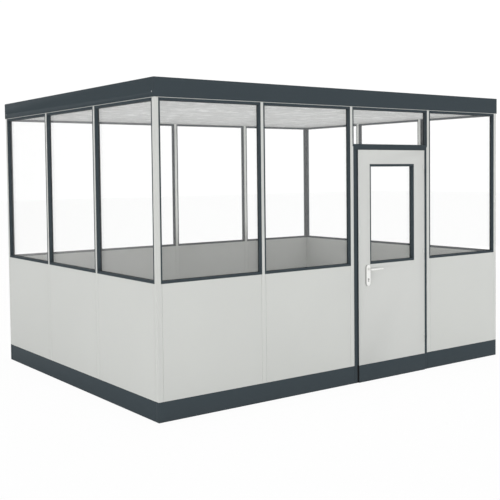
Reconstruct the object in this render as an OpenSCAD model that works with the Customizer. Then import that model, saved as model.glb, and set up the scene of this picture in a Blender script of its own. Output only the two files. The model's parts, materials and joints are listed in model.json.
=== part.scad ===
// In-plant office: a free-standing room of one-metre bays, glazed above the sill on all four sides,
// with an outward-opening half-glazed door and a light over it.
// The origin is on the ground, in the middle of the front wall, halfway through its thickness.
// +X runs right along the front, +Y runs towards the back and +Z is up.

/* [Bays] */
// Number of bays along the front and the back
bays_x = 4; // [3:1:6]
// Number of bays along each end
bays_y = 3; // [2:1:5]
// Distance between the centre lines of neighbouring posts
bay = 1000; // [950:10:1200]
// Bay that holds the door, counted from the left of the front
door_bay = 3; // [1:1:3]

/* [Wall] */
// Thickness of the walls, and the side of the square posts
wall_t = 45; // [42:1:60]
// Height of the base rail
base_h = 160; // [100:5:250]
// Height of the window sills above the ground
sill_z = 1074; // [900:2:1200]
// Height of the underside of the top rails above the ground
window_top_z = 2500; // [2400:10:2900]
// Joint left between a wall panel and the posts beside it
panel_joint = 1; // [0.5:0.5:3]

/* [Glazing] */
// How far a window frame sits over the post beside it
frame_lap = 8.5; // [4:0.5:12]
// How far a window frame stays back from the inner face of the wall
frame_back = 6; // [0:0.5:8]
// Width of the upright sides of a window frame
stile_w = 14; // [12:1:20]
// Width of the level sides of a window frame
rail_w = 21; // [15:1:30]
// Thickness of the glass
glass_t = 6; // [4:1:8]
// Thickness of the bead that holds the glass on the room side
bead_t = 2; // [1:0.5:4]
// Depth of the groove that the edge of the glass sits in
groove_d = 6; // [4:1:8]
// Space between the edge of the glass and the bottom of its groove
glass_edge_gap = 1; // [0.5:0.5:2]

/* [Roof] */
// Height of the top rails
top_rail_h = 125; // [90:5:180]
// Strip of top rail that stays in view under the fascia, and over the windows inside
shadow_strip = 4; // [2:1:10]
// Thickness of the fascia sheet, which is also how far it stands proud of the wall
fascia_t = 5; // [2:1:8]
// Width of the flange that the fascia folds back over the roof
fascia_return = 60; // [30:5:100]
// Thickness of the ceiling, its tiles and the bars that carry them
ceiling_t = 40; // [30:5:80]
// Thickness of the roof deck
deck_t = 25; // [15:5:40]

/* [Door] */
// Width of each door jamb
jamb_w = 55; // [45:1:70]
// Height of the door head
head_h = 41; // [30:1:60]
// Height of the top of the door head, where the light over the door starts
door_frame_z = 2148; // [2050:2:2250]
// Gap between the door leaf and its frame
leaf_gap = 6; // [5.5:0.5:8]
// Gap between the door leaf and the ground
ground_gap = 2; // [1:1:15]
// Thickness of the door leaf
leaf_t = 45; // [42:1:50]
// Thickness of the flange round the door leaf
flange_t = 8; // [6:1:12]
// How far the flange reaches over the door frame
flange_lap = 10; // [6:1:15]
// Space between the flange and the face of the door frame
flange_gap = 5; // [5:0.5:8]
// Width of the door leaf beside its glass, up to the glazing frame
leaf_stile = 144; // [125:1:170]
// Height of the door leaf above its glazing frame
leaf_top_rail = 129; // [90:1:200]
// Thickness of the kick plate
kick_t = 2; // [1:0.5:4]

/* [Lock] */
// Height of the lever above the ground
lever_z = 1032; // [1010:2:1060]
// Distance of the lever's axis from the free edge of the door leaf
lever_inset = 112; // [60:1:112]
// Length of the lever from its axis
lever_l = 145; // [100:1:160]
// Space between a lever and its lock plate
lever_reach = 40; // [35:1:55]
// Width of the lock plates
plate_w = 50; // [36:1:54]
// Height of the lock plates
plate_h = 192; // [170:2:220]
// Thickness of the lock plates
plate_t = 12; // [4:1:12]
// Distance from the lever's axis down to the lock cylinder
lock_drop = 92; // [72:1:100]
// Diameter of the lever's spindle
spindle_d = 9; // [8:1:12]
// Diameter of the round part of the lock cylinder
lock_d = 17; // [15:1:20]

/* [Hinges] */
// Number of hinges on the door
hinges = 3; // [2:1:4]
// Outside diameter of a hinge
knuckle_d = 16; // [12:1:20]
// Height of each half of a hinge
knuckle_h = 45; // [30:5:70]
// Diameter of a hinge pin
pin_d = 8; // [6:1:10]
// Thickness of the hinge flaps
flap_t = 3; // [2:0.5:4]
// Width of the hinge flaps
flap_w = 24; // [16:1:26]
// Height of the lowest hinge above the ground
hinge_low_z = 280; // [200:10:400]
// Distance of the highest hinge below the top of the door leaf
hinge_top_gap = 230; // [150:10:400]

/* [Hidden] */

// Colours
light_grey = [0.81, 0.82, 0.80];
anthracite = [0.26, 0.30, 0.31];
ceiling_white = [0.86, 0.87, 0.86];
glass_tint = [0.80, 0.86, 0.88, 0.35];
satin_metal = [0.90, 0.90, 0.90];

// Smooth rounds
$fn = 48;

// Solids that are cut away run past the faces they open by this much
past = 1;

// The room: grid lines run through the middle of the walls
grid_w = bays_x * bay;
grid_d = bays_y * bay;
overall_w = grid_w + wall_t;
overall_d = grid_d + wall_t;
post_top_z = window_top_z;
bay_clear = bay - wall_t;
nose_w = wall_t - 2 * frame_lap;
corner_nose = wall_t - frame_lap;

// A window frame fills its bay from the sill to the top rail, flush with the outer face of the wall
frame_w = bay_clear + 2 * frame_lap;
frame_h = window_top_z - sill_z;
frame_d = wall_t - frame_back;

// The roof
rail_top_z = window_top_z + top_rail_h;
deck_top_z = rail_top_z + deck_t;
fascia_low_z = window_top_z + shadow_strip;
fascia_h = deck_top_z + fascia_t - fascia_low_z;

// The doorway lies between two posts, measured along the front from its left end
door_left_u = (door_bay - 1) * bay + wall_t;
door_right_u = door_left_u + bay_clear;
head_low_z = door_frame_z - head_h;

// The leaf: a body inside the frame, and a flange that reaches over it.
// Depths are measured inwards from the outer face of the wall.
body_left_u = door_left_u + jamb_w + leaf_gap;
body_w = bay_clear - 2 * (jamb_w + leaf_gap);
body_top_z = head_low_z - leaf_gap;
flange_left_u = door_left_u + jamb_w - flange_lap;
flange_w = bay_clear - 2 * (jamb_w - flange_lap);
flange_top_z = head_low_z + flange_lap;
leaf_face_v = -(flange_gap + flange_t);
leaf_back_v = leaf_face_v + leaf_t;
light_w = flange_w - 2 * leaf_stile;
light_h = flange_top_z - leaf_top_rail - sill_z;

// The lock
lever_u = flange_left_u + lever_inset;
plate_clear = 3;
plate_top_z = sill_z - plate_clear;
lock_z = lever_z - lock_drop;
lock_web_w = 10;
lock_web_h = 33;
lock_proud = 3;
spindle_clear = 1;
lock_clear = 0.5;
neck_d = 18;
neck_clear = 1;
lever_t = 12;
lever_w = 14;

// The hinges turn on one line beside the flange
knuckle_clear = 5;
hinge_u = flange_left_u + flange_w + knuckle_clear + knuckle_d / 2;
hinge_v = leaf_face_v + flange_t / 2;
pin_clear = 0.05;
knuckle_gap = 1;
hinge_step = (flange_top_z - hinge_top_gap - hinge_low_z) / (hinges - 1);

// ---- Placing ----

// A wall is drawn with u along it, v from its outer face inwards and z up, seen from outside
module on_front() {
    translate([-overall_w / 2, -wall_t / 2, 0]) children();
}

module on_back() {
    translate([overall_w / 2, grid_d + wall_t / 2, 0]) rotate([0, 0, 180]) children();
}

module on_left() {
    translate([-overall_w / 2, grid_d + wall_t / 2, 0]) rotate([0, 0, -90]) children();
}

module on_right() {
    translate([overall_w / 2, -wall_t / 2, 0]) rotate([0, 0, 90]) children();
}

// ---- Walls ----

// Height at which the window frame of a bay starts on the front
function front_frame_z(bay_no) = bay_no == door_bay ? door_frame_z : sill_z;

module base_rail(from_u, to_u) {
    color(anthracite) translate([from_u, 0, 0]) cube([to_u - from_u, wall_t, base_h]);
}

// A post between two bays, square below the windows and narrowed where their frames sit over it
module wall_post(post_no, left_frame_z, right_frame_z) {
    left_u = post_no * bay;
    color(light_grey) {
        translate([left_u + frame_lap, 0, base_h]) cube([nose_w, wall_t, post_top_z - base_h]);
        translate([left_u, 0, base_h]) cube([wall_t / 2, wall_t, left_frame_z - base_h]);
        translate([left_u + wall_t / 2, 0, base_h]) cube([wall_t / 2, wall_t, right_frame_z - base_h]);
    }
}

// A corner post, at the left end of one wall; the wall round the corner ends at its outer face
module corner_post(long_frame_z) {
    color(light_grey) difference() {
        translate([0, 0, base_h]) cube([wall_t, wall_t, post_top_z - base_h]);
        translate([corner_nose, -past, long_frame_z]) cube([wall_t, wall_t + 2 * past, post_top_z]);
        translate([-past, corner_nose, sill_z]) cube([corner_nose + past, wall_t, post_top_z]);
    }
}

module wall_panel(bay_no) {
    color(light_grey) translate([(bay_no - 1) * bay + wall_t + panel_joint, 0, base_h])
        cube([bay_clear - 2 * panel_joint, wall_t, sill_z - base_h]);
}

// ---- Glazing ----

// A glazed frame with its lower left outer corner at the origin
module glazing_frame(w, h, depth) {
    color(anthracite) difference() {
        cube([w, depth, h]);
        translate([stile_w, -past, rail_w])
            cube([w - 2 * stile_w, depth + 2 * past, h - 2 * rail_w]);
        translate([stile_w - groove_d, depth - bead_t - glass_t, rail_w - groove_d])
            cube([w - 2 * (stile_w - groove_d), glass_t, h - 2 * (rail_w - groove_d)]);
    }
}

// The glass of such a frame, held on both faces by its groove
module glazing_glass(w, h, depth) {
    side_cover = stile_w - groove_d + glass_edge_gap;
    level_cover = rail_w - groove_d + glass_edge_gap;
    color(glass_tint) translate([side_cover, depth - bead_t - glass_t, level_cover])
        cube([w - 2 * side_cover, glass_t, h - 2 * level_cover]);
}

module in_bay(bay_no, z) {
    translate([(bay_no - 1) * bay + wall_t - frame_lap, 0, z]) children();
}

// The end frames of the short walls give way to those of the long walls at the inner corner
module end_wall_frame(bay_no) {
    difference() {
        in_bay(bay_no, sill_z) glazing_frame(frame_w, frame_h, frame_d);
        for (corner_u = [0, grid_d])
            translate([corner_u, corner_nose, sill_z - past])
                cube([wall_t, wall_t, frame_h + 2 * past]);
    }
}

module window_glass(bay_no) {
    in_bay(bay_no, sill_z) glazing_glass(frame_w, frame_h, frame_d);
}

// ---- Roof ----

module top_rail(from_u, to_u) {
    color(light_grey) translate([from_u, 0, window_top_z]) cube([to_u - from_u, wall_t, top_rail_h]);
}

// A fascia sheet in front of the top rail, folded back over the edge of the roof.
// Its flange is shorter than its face by flange_cut at each end, to clear the sheets round the corners.
module fascia(from_u, to_u, flange_cut) {
    color(anthracite) {
        translate([from_u, -fascia_t, fascia_low_z]) cube([to_u - from_u, fascia_t, fascia_h]);
        translate([from_u + flange_cut, -fascia_t, deck_top_z])
            cube([to_u - from_u - 2 * flange_cut, fascia_return, fascia_t]);
    }
}

// ---- Door ----

module leaf_solid() {
    translate([flange_left_u, leaf_face_v, ground_gap])
        cube([flange_w, flange_t, flange_top_z - ground_gap]);
    translate([body_left_u, leaf_face_v + flange_t, ground_gap])
        cube([body_w, leaf_t - flange_t, body_top_z - ground_gap]);
}

module in_leaf_light() {
    translate([flange_left_u + leaf_stile, leaf_face_v, sill_z]) children();
}

// A round bar or bore along v
module round_v(u, z, d, from_v, to_v) {
    translate([u, from_v, z]) rotate([-90, 0, 0]) cylinder(d = d, h = to_v - from_v);
}

// The outline of a lock cylinder, a round body over a narrow web, swept along v
module lock_shape(grow, from_v, to_v) {
    round_v(lever_u, lock_z, lock_d + 2 * grow, from_v, to_v);
    translate([lever_u - lock_web_w / 2 - grow, from_v, lock_z + lock_d / 2 - lock_web_h - grow])
        cube([lock_web_w + 2 * grow, to_v - from_v, lock_web_h - lock_d / 2 + grow]);
}

// A lock plate with round ends, on one face of the leaf
module lock_plate(from_v) {
    low_z = plate_top_z - plate_h + plate_w / 2;
    round_v(lever_u, low_z, plate_w, from_v, from_v + plate_t);
    round_v(lever_u, plate_top_z - plate_w / 2, plate_w, from_v, from_v + plate_t);
    translate([lever_u - plate_w / 2, from_v, low_z]) cube([plate_w, plate_t, plate_h - plate_w]);
}

// One lever: a round neck and a flat grip with a round end, which points away from the free edge
module lever(neck_v, grip_v) {
    round_v(lever_u, lever_z, neck_d, min(neck_v, grip_v), max(neck_v, grip_v + lever_t));
    translate([lever_u, grip_v, lever_z - lever_w / 2]) cube([lever_l - lever_w / 2, lever_t, lever_w]);
    round_v(lever_u, lever_z, lever_w, grip_v, grip_v + lever_t);
    round_v(lever_u + lever_l - lever_w / 2, lever_z, lever_w, grip_v, grip_v + lever_t);
}

// ---- Hinges ----

module at_hinges() {
    for (hinge_no = [0 : hinges - 1])
        translate([hinge_u, hinge_v, hinge_low_z + hinge_no * hinge_step]) children();
}

// Lower half: a knuckle with the pin, and a flap on the face of the jamb
module frame_hinge() {
    cylinder(d = knuckle_d, h = knuckle_h);
    cylinder(d = pin_d, h = 2 * knuckle_h);
    translate([0, -hinge_v - flap_t, 0]) cube([flap_w, flap_t, knuckle_h]);
    cube([flap_t, -hinge_v - flap_t / 2, knuckle_h]);
}

// Upper half: a sleeve on the pin, and a flap on the face of the leaf
module leaf_hinge() {
    difference() {
        union() {
            cylinder(d = knuckle_d, h = knuckle_h);
            translate([-knuckle_d / 2 - knuckle_clear - flap_w, leaf_face_v - hinge_v - flap_t, 0])
                cube([knuckle_d / 2 + knuckle_clear + flap_w, flap_t, knuckle_h]);
        }
        translate([0, 0, -past]) cylinder(d = pin_d + 2 * pin_clear, h = knuckle_h + 2 * past);
    }
}

// ---- The pieces ----

module base_front_left() { on_front() base_rail(0, door_left_u); }
module base_front_right() { on_front() base_rail(door_right_u, overall_w); }
module base_back() { on_back() base_rail(0, overall_w); }
module base_left() { on_left() base_rail(wall_t, overall_d - wall_t); }
module base_right() { on_right() base_rail(wall_t, overall_d - wall_t); }

module corner_posts() {
    on_front() corner_post(front_frame_z(1));
    on_front() translate([overall_w, 0, 0]) mirror([1, 0, 0]) corner_post(front_frame_z(bays_x));
    on_back() corner_post(sill_z);
    on_back() translate([overall_w, 0, 0]) mirror([1, 0, 0]) corner_post(sill_z);
}

module front_posts() {
    on_front() for (post_no = [1 : bays_x - 1])
        wall_post(post_no, front_frame_z(post_no), front_frame_z(post_no + 1));
}

module back_posts() { on_back() for (post_no = [1 : bays_x - 1]) wall_post(post_no, sill_z, sill_z); }
module left_posts() { on_left() for (post_no = [1 : bays_y - 1]) wall_post(post_no, sill_z, sill_z); }
module right_posts() { on_right() for (post_no = [1 : bays_y - 1]) wall_post(post_no, sill_z, sill_z); }

module front_panels() {
    on_front() for (bay_no = [1 : bays_x]) if (bay_no != door_bay) wall_panel(bay_no);
}

module back_panels() { on_back() for (bay_no = [1 : bays_x]) wall_panel(bay_no); }
module left_panels() { on_left() for (bay_no = [1 : bays_y]) wall_panel(bay_no); }
module right_panels() { on_right() for (bay_no = [1 : bays_y]) wall_panel(bay_no); }

module front_window_frames() {
    on_front() for (bay_no = [1 : bays_x])
        if (bay_no != door_bay) in_bay(bay_no, sill_z) glazing_frame(frame_w, frame_h, frame_d);
}

module back_window_frames() {
    on_back() for (bay_no = [1 : bays_x]) in_bay(bay_no, sill_z) glazing_frame(frame_w, frame_h, frame_d);
}

module left_window_frames() { on_left() for (bay_no = [1 : bays_y]) end_wall_frame(bay_no); }
module right_window_frames() { on_right() for (bay_no = [1 : bays_y]) end_wall_frame(bay_no); }

module transom_frame() {
    on_front() in_bay(door_bay, door_frame_z)
        glazing_frame(frame_w, window_top_z - door_frame_z, frame_d);
}

module front_glass() {
    on_front() for (bay_no = [1 : bays_x]) if (bay_no != door_bay) window_glass(bay_no);
}

module back_glass() { on_back() for (bay_no = [1 : bays_x]) window_glass(bay_no); }
module left_glass() { on_left() for (bay_no = [1 : bays_y]) window_glass(bay_no); }
module right_glass() { on_right() for (bay_no = [1 : bays_y]) window_glass(bay_no); }

module transom_glass() {
    on_front() in_bay(door_bay, door_frame_z)
        glazing_glass(frame_w, window_top_z - door_frame_z, frame_d);
}

module front_top_rail() { on_front() top_rail(0, overall_w); }
module back_top_rail() { on_back() top_rail(0, overall_w); }
module left_top_rail() { on_left() top_rail(wall_t, overall_d - wall_t); }
module right_top_rail() { on_right() top_rail(wall_t, overall_d - wall_t); }

module front_fascia() { on_front() fascia(-fascia_t, overall_w + fascia_t, fascia_t); }
module back_fascia() { on_back() fascia(-fascia_t, overall_w + fascia_t, fascia_t); }
module left_fascia() { on_left() fascia(0, overall_d, fascia_return - fascia_t); }
module right_fascia() { on_right() fascia(0, overall_d, fascia_return - fascia_t); }

module ceiling() {
    color(ceiling_white) on_front() translate([wall_t, wall_t, window_top_z + shadow_strip])
        cube([overall_w - 2 * wall_t, overall_d - 2 * wall_t, ceiling_t]);
}

module roof_deck() {
    color(light_grey) on_front() translate([0, 0, rail_top_z]) cube([overall_w, overall_d, deck_t]);
}

module door_jambs() {
    color(anthracite) on_front() for (jamb_u = [door_left_u, door_right_u - jamb_w])
        translate([jamb_u, 0, 0]) cube([jamb_w, wall_t, head_low_z]);
}

module door_head() {
    color(anthracite) on_front() translate([door_left_u, 0, head_low_z]) cube([bay_clear, wall_t, head_h]);
}

module door_leaf() {
    color(light_grey) on_front() difference() {
        leaf_solid();
        in_leaf_light() translate([0, -past, 0]) cube([light_w, leaf_t + 2 * past, light_h]);
        round_v(lever_u, lever_z, spindle_d + 2 * spindle_clear, leaf_face_v - past, leaf_back_v + past);
        lock_shape(lock_clear, leaf_face_v - past, leaf_back_v + past);
    }
}

module door_kick_plate() {
    color(anthracite) on_front() translate([flange_left_u, leaf_face_v - kick_t, ground_gap])
        cube([flange_w, kick_t, base_h - ground_gap]);
}

module door_glazing_frame() { on_front() in_leaf_light() glazing_frame(light_w, light_h, leaf_t); }
module door_glass() { on_front() in_leaf_light() glazing_glass(light_w, light_h, leaf_t); }

module lock_plates() {
    outer_v = leaf_face_v - plate_t;
    color(satin_metal) on_front() difference() {
        for (face_v = [outer_v, leaf_back_v]) lock_plate(face_v);
        round_v(lever_u, lever_z, spindle_d + 2 * spindle_clear, outer_v - past, leaf_back_v + plate_t + past);
        lock_shape(0, outer_v - past, leaf_back_v + plate_t + past);
    }
}

module lock_cylinder() {
    color(satin_metal) on_front()
        lock_shape(0, leaf_face_v - plate_t - lock_proud, leaf_back_v + plate_t + lock_proud);
}

module lever_handles() {
    outer_v = leaf_face_v - plate_t - neck_clear;
    inner_v = leaf_back_v + plate_t + neck_clear;
    color(satin_metal) on_front() {
        round_v(lever_u, lever_z, spindle_d, outer_v - past, inner_v + past);
        lever(outer_v, outer_v - lever_reach - lever_t);
        lever(inner_v, inner_v + lever_reach);
    }
}

module frame_hinges() { color(anthracite) on_front() at_hinges() frame_hinge(); }

module leaf_hinges() {
    color(anthracite) on_front() at_hinges() translate([0, 0, knuckle_h + knuckle_gap]) leaf_hinge();
}

base_front_left();
base_front_right();
base_back();
base_left();
base_right();
corner_posts();
front_posts();
back_posts();
left_posts();
right_posts();
front_panels();
back_panels();
left_panels();
right_panels();
front_window_frames();
back_window_frames();
left_window_frames();
right_window_frames();
transom_frame();
front_glass();
back_glass();
left_glass();
right_glass();
transom_glass();
front_top_rail();
back_top_rail();
left_top_rail();
right_top_rail();
front_fascia();
back_fascia();
left_fascia();
right_fascia();
ceiling();
roof_deck();
door_jambs();
door_head();
door_leaf();
door_kick_plate();
door_glazing_frame();
door_glass();
lock_plates();
lock_cylinder();
lever_handles();
frame_hinges();
leaf_hinges();
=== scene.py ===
import json
import math

import bmesh
import bpy
from mathutils import Matrix, Vector


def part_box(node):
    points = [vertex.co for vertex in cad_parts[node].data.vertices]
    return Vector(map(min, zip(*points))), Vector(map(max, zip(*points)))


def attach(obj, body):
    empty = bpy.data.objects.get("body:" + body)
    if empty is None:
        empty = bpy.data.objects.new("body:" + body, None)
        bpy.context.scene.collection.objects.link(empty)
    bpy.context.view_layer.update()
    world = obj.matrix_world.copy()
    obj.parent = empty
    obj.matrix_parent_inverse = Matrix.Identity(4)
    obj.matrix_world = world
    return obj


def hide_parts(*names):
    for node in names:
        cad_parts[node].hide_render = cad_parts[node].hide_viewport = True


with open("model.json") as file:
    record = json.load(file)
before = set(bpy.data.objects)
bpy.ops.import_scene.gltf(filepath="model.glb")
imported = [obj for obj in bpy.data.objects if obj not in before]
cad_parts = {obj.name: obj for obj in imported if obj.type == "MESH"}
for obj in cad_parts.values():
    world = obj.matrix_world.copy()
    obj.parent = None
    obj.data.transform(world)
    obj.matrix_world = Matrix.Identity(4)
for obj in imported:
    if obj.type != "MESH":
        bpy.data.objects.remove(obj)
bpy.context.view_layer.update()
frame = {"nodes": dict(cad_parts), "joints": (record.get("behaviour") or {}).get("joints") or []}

# ==== Base rails ====
# Steel channels laid on the ground, which carry the walls and stop at the doorway.
# Rolled with rounded arrises and powder coated in anthracite grey, dusty near the ground.


def step(tree, kind, values=None, **settings):
    """Adds one node to a tree, sets what it is told, and joins or fills its inputs."""
    node = tree.nodes.new(kind)
    for name, value in settings.items():
        setattr(node, name, value)
    for key, value in (values or {}).items():
        if isinstance(value, bpy.types.NodeSocket):
            tree.links.new(value, node.inputs[key])
        else:
            node.inputs[key].default_value = value
    return node


def sums(tree, operation, *values, **settings):
    """One sum of plain numbers."""
    return step(tree, "ShaderNodeMath", dict(enumerate(values)), operation=operation, **settings).outputs[0]


def noise(tree, place, scale, detail, **others):
    """Soft clouds between 0 and 1."""
    return step(tree, "ShaderNodeTexNoise", {
        "Vector": place, "Scale": scale, "Detail": detail, **others}).outputs["Fac"]


def between(tree, factor, low, high, from_low=0.3, from_high=0.7):
    """Spreads a factor over a range of plain numbers."""
    return step(tree, "ShaderNodeMapRange", {
        "Value": factor, "From Min": from_low, "From Max": from_high,
        "To Min": low, "To Max": high}).outputs["Result"]


def two_tone(tree, factor, first, second):
    """Goes from one colour to the other as the factor goes from 0 to 1."""
    mix = step(tree, "ShaderNodeMix", data_type="RGBA")
    tree.links.new(factor, mix.inputs[0])
    for socket, colour in ((mix.inputs[6], first), (mix.inputs[7], second)):
        if isinstance(colour, bpy.types.NodeSocket):
            tree.links.new(colour, socket)
        else:
            socket.default_value = (*colour, 1)
    return mix.outputs[2]


def new_skin(name):
    """A new material with its tree, its shader and the place on the object."""
    skin = bpy.data.materials.new(name)
    skin.use_nodes = True
    tree = skin.node_tree
    return skin, tree, tree.nodes["Principled BSDF"], step(tree, "ShaderNodeTexCoord").outputs["Object"]


def paint(tree, shader, colour, roughness, level=None):
    """Joins a colour and a roughness to a shader, and sets how strongly it shines."""
    tree.links.new(colour, shader.inputs["Base Color"])
    tree.links.new(roughness, shader.inputs["Roughness"])
    if level is not None:
        shader.inputs["Specular IOR Level"].default_value = level


def emboss(tree, shader, height, strength, distance, **settings):
    """Gives a shader a relief, on top of the one that it may have."""
    values = {"Height": height, "Strength": strength, "Distance": distance}
    if shader.inputs["Normal"].is_linked:
        values["Normal"] = shader.inputs["Normal"].links[0].from_socket
    relief = step(tree, "ShaderNodeBump", values, **settings)
    tree.links.new(relief.outputs["Normal"], shader.inputs["Normal"])


def powder_coat(name, tone, peel, dust, sheen_level):
    """Satin powder coat with faint clouds of tone, orange peel, and dust that settles near the ground."""
    coat, tree, shader, place = new_skin(name)
    cloud = noise(tree, place, 1.6, 4.0)
    pores = noise(tree, place, 420.0, 2.0)
    coated = two_tone(tree, between(tree, cloud, 0, 1), [c * 0.988 for c in tone], [c * 1.012 for c in tone])
    height = step(tree, "ShaderNodeSeparateXYZ", {"Vector": place}).outputs["Z"]
    settled = sums(tree, "MULTIPLY", between(tree, height, dust, 0, 0.0, 0.14), between(tree, cloud, 0.4, 1))
    paint(tree, shader, two_tone(tree, settled, coated, (0.40, 0.38, 0.34)),
          between(tree, cloud, 0.44, 0.54), sheen_level)
    emboss(tree, shader, pores, peel, 0.0004)
    return coat


def arris(piece, radius, coat):
    """Rounds every sharp edge of a piece by the radius and gives it its finish."""
    piece.data.shade_smooth()
    piece.data.materials.clear()
    piece.data.materials.append(coat)
    turn = piece.modifiers.new("arris", "BEVEL")
    turn.width = radius
    turn.segments = 2
    turn.limit_method = "ANGLE"
    turn.angle_limit = math.radians(30)
    turn.harden_normals = True
    return piece


def linked(name, data):
    """A new object in the scene that holds this mesh, lamp or camera."""
    piece = bpy.data.objects.new(name, data)
    bpy.context.scene.collection.objects.link(piece)
    return piece


def shown(name, shape):
    """Links a finished bmesh as a piece, with its faces outwards."""
    bmesh.ops.recalc_face_normals(shape, faces=shape.faces[:])
    skin = bpy.data.meshes.new(name)
    shape.to_mesh(skin)
    shape.free()
    return linked(name, skin)


def eased(node, name, radius, coat):
    """The solid's own shape, merged into clean faces, with its arrises rounded and coated."""
    shape = bmesh.new()
    shape.from_mesh(frame["nodes"][node].data)
    bmesh.ops.remove_doubles(shape, verts=shape.verts[:], dist=0.00002)
    bmesh.ops.dissolve_limit(shape, angle_limit=math.radians(1), verts=shape.verts[:], edges=shape.edges[:])
    return arris(shown(name, shape), radius, coat)


def fit(piece, body, slot, *nodes):
    """Fixes a piece to its body and hides the solids that it stands for; the slot is not used."""
    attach(piece, body)
    if nodes:
        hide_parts(*nodes)


anthracite = powder_coat("anthracite_powder_coat", (0.0535, 0.0680, 0.0770), 0.12, 0.015, 0.012)

for node in ("base_front_left", "base_front_right", "base_back", "base_left", "base_right"):
    fit(eased(node, node + "_rail", 0.0025, anthracite), "office", "anthracite_frame", node)

# ==== Posts ====
# Drawn steel posts, square below the sills and narrower between the windows.
# Powder coated in light grey, with the rails let in at foot and head.

light_grey = powder_coat("light_grey_powder_coat", (0.655, 0.667, 0.643), 0.10, 0.03, 0.12)

for node in ("corner_posts", "front_posts", "back_posts", "left_posts", "right_posts"):
    fit(eased(node, node + "_drawn", 0.0015, light_grey), "office", "light_grey_panel", node)

# ==== Wall panels ====
# Sandwich boards between two coil-coated steel sheets, set between the posts under the windows.
# The sheet is smoother than the posts, and its long edges are folded over.


def coil_coat(name, tone, waves):
    """Coil-coated sheet: an even satin paint over steel that is very slightly wavy."""
    coat = powder_coat(name, tone, 0.05, 0.03, 0.12)
    tree = coat.node_tree
    shader = tree.nodes["Principled BSDF"]
    place = tree.nodes["Texture Coordinate"].outputs["Object"]
    emboss(tree, shader, noise(tree, place, 3.2, 1.0), waves, 0.02)
    return coat


panel_sheet = coil_coat("light_grey_coated_sheet", (0.650, 0.662, 0.638), 0.05)

for node in ("front_panels", "back_panels", "left_panels", "right_panels"):
    fit(eased(node, node + "_board", 0.0012, panel_sheet), "office", "light_grey_panel", node)

# ==== Window frames ====
# Anthracite bars mitred round each pane, with a groove that holds the glass near the room side.
# The light over the door has a frame of the same bars.


def mitred_bars(shape, place, width, height, stile, rail, section, sides=(0, 1, 2, 3)):
    """Bars round an opening, with mitred ends: 0 is the foot, 1 the right, 2 the head, 3 the left."""
    joint = 0.0001
    corners = [Vector((0, 0)), Vector((width, 0)), Vector((width, height)), Vector((0, height))]
    for side in sides:
        start, end = corners[side], corners[(side + 1) % 4]
        along = (end - start).normalized()
        inward = Vector((-along.y, along.x))
        own, other = (rail, stile) if side % 2 == 0 else (stile, rail)
        ends = []
        for corner, way in ((start, 1), (end, -1)):
            ring = []
            for across, deep in section(own):
                spot = corner + inward * across + along * way * (across * other / own + joint)
                ring.append(shape.verts.new(place @ Vector((spot.x, deep, spot.y))))
            ends.append(ring)
        count = len(ends[0])
        for k in range(count):
            after = (k + 1) % count
            shape.faces.new((ends[0][k], ends[0][after], ends[1][after], ends[1][k]))
        shape.faces.new(ends[0][::-1])
        shape.faces.new(ends[1])


def finished(name, shape, radius, coat, body, slot, *nodes):
    """Shows a finished bmesh with rounded arrises and its coat, and fixes it to its body."""
    fit(arris(shown(name, shape), radius, coat), body, slot, *nodes)


glass_out, glass_in = 0.008, 0.002


def glazing_bar(depth):
    """Sections of glazing bars, from their outer edge inwards and from their outer face to the room."""
    groove, outer, inner = 0.006, depth - glass_out, depth - glass_in

    def section(width):
        return [(0, 0), (width, 0), (width, outer), (width - groove, outer),
                (width - groove, inner), (width, inner), (width, depth), (0, depth)]
    return section


stile, rail = 0.014, 0.021
front_low, front_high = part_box("front_window_frames")
sill, lintel = front_low.z, front_high.z
bar_depth = front_high.y - front_low.y
wall_low, wall_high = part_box("corner_posts")
middle = (wall_low + wall_high) / 2
bay, width = 1.0, 0.972
grid_x = [-1.5, -0.5, 0.5, 1.5]
grid_y = [middle.y - bay, middle.y, middle.y + bay]
door_x = 0.5

inward = {"front": Vector((0, 1, 0)), "back": Vector((0, -1, 0)),
          "left": Vector((1, 0, 0)), "right": Vector((-1, 0, 0))}
windows = {
    "front": [Vector((x, wall_low.y, sill)) for x in grid_x if x != door_x],
    "back": [Vector((x, wall_high.y, sill)) for x in grid_x],
    "left": [Vector((wall_low.x, y, sill)) for y in grid_y],
    "right": [Vector((wall_high.x, y, sill)) for y in grid_y]}


def facing(centre, inward):
    """The place of a piece whose depth runs inwards from the foot of a wall's outer face."""
    turn = math.atan2(-inward.x, inward.y)
    return Matrix.Translation(centre) @ Matrix.Rotation(turn, 4, "Z")


for wall, centres in windows.items():
    shape = bmesh.new()
    for centre in centres:
        place = facing(centre, inward[wall]) @ Matrix.Translation((-width / 2, 0, 0))
        mitred_bars(shape, place, width, lintel - sill, stile, rail, glazing_bar(bar_depth))
    finished(wall + "_window_bars", shape, 0.0008, anthracite, "office", "anthracite_frame",
             wall + "_window_frames")

over_low, over_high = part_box("transom_frame")
shape = bmesh.new()
mitred_bars(shape, Matrix.Translation(over_low), over_high.x - over_low.x,
            over_high.z - over_low.z, stile, rail, glazing_bar(bar_depth))
finished("bars_over_the_door", shape, 0.0008, anthracite, "office", "anthracite_frame", "transom_frame")

# ==== Glass ====
# Clear float glass, 6 mm thick, let into the grooves of the bars before the last bar goes on.
# A faint film of dust lies on its outer side, which mirrors more at a flat angle.


def arrows(tree, operation, *values, **others):
    """One sum of vectors."""
    return step(tree, "ShaderNodeVectorMath", {**dict(enumerate(values)), **others},
                operation=operation).outputs[0]


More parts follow.
